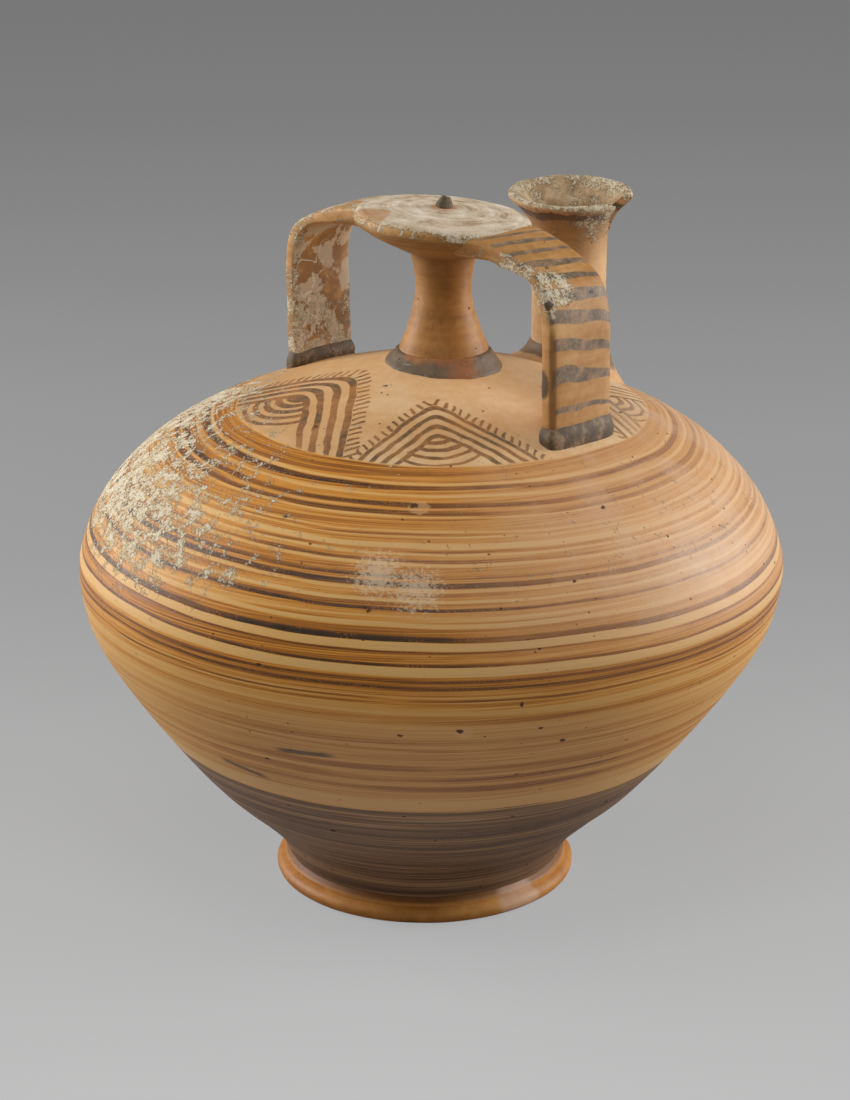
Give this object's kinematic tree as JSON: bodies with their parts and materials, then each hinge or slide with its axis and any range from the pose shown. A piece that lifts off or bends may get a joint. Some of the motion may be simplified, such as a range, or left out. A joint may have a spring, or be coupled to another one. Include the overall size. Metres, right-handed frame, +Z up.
{
  "type": "stirrup jar",
  "caption": "Closed round jar of painted fired clay with a ring foot, a false neck shut by a disc, strap handles from disc to shoulder, and a tube spout with a flared mouth.",
  "frame": {"origin": "on the standing surface, under the middle of the belly", "axes": "+Z up; +X towards the right handle, -X towards the left handle, +Y towards the spout"},
  "size_m": [0.23, 0.23, 0.2301],
  "materials": {
    "buff_clay": "smoothed buff clay slip with painted bands, low sheen",
    "brown_wash": "brown iron wash brushed in bands, low sheen",
    "orange_clay": "bare orange clay, matt",
    "dark_paint": "worn black-brown paint, matt",
    "lime_crust": "clay under a chalky pale burial crust, matt"
  },
  "bodies": {
    "root": {"foot_ring": "orange_clay", "lower_body": "brown_wash", "upper_body": "buff_clay", "false_neck": "buff_clay", "neck_collar": "dark_paint", "top_disc": "lime_crust", "disc_knob": "dark_paint", "handle_left": "lime_crust", "handle_right": "buff_clay", "handle_foot_left": "dark_paint", "handle_foot_right": "dark_paint", "spout": "buff_clay", "spout_collar": "orange_clay"}
  },
  "joints": []
}
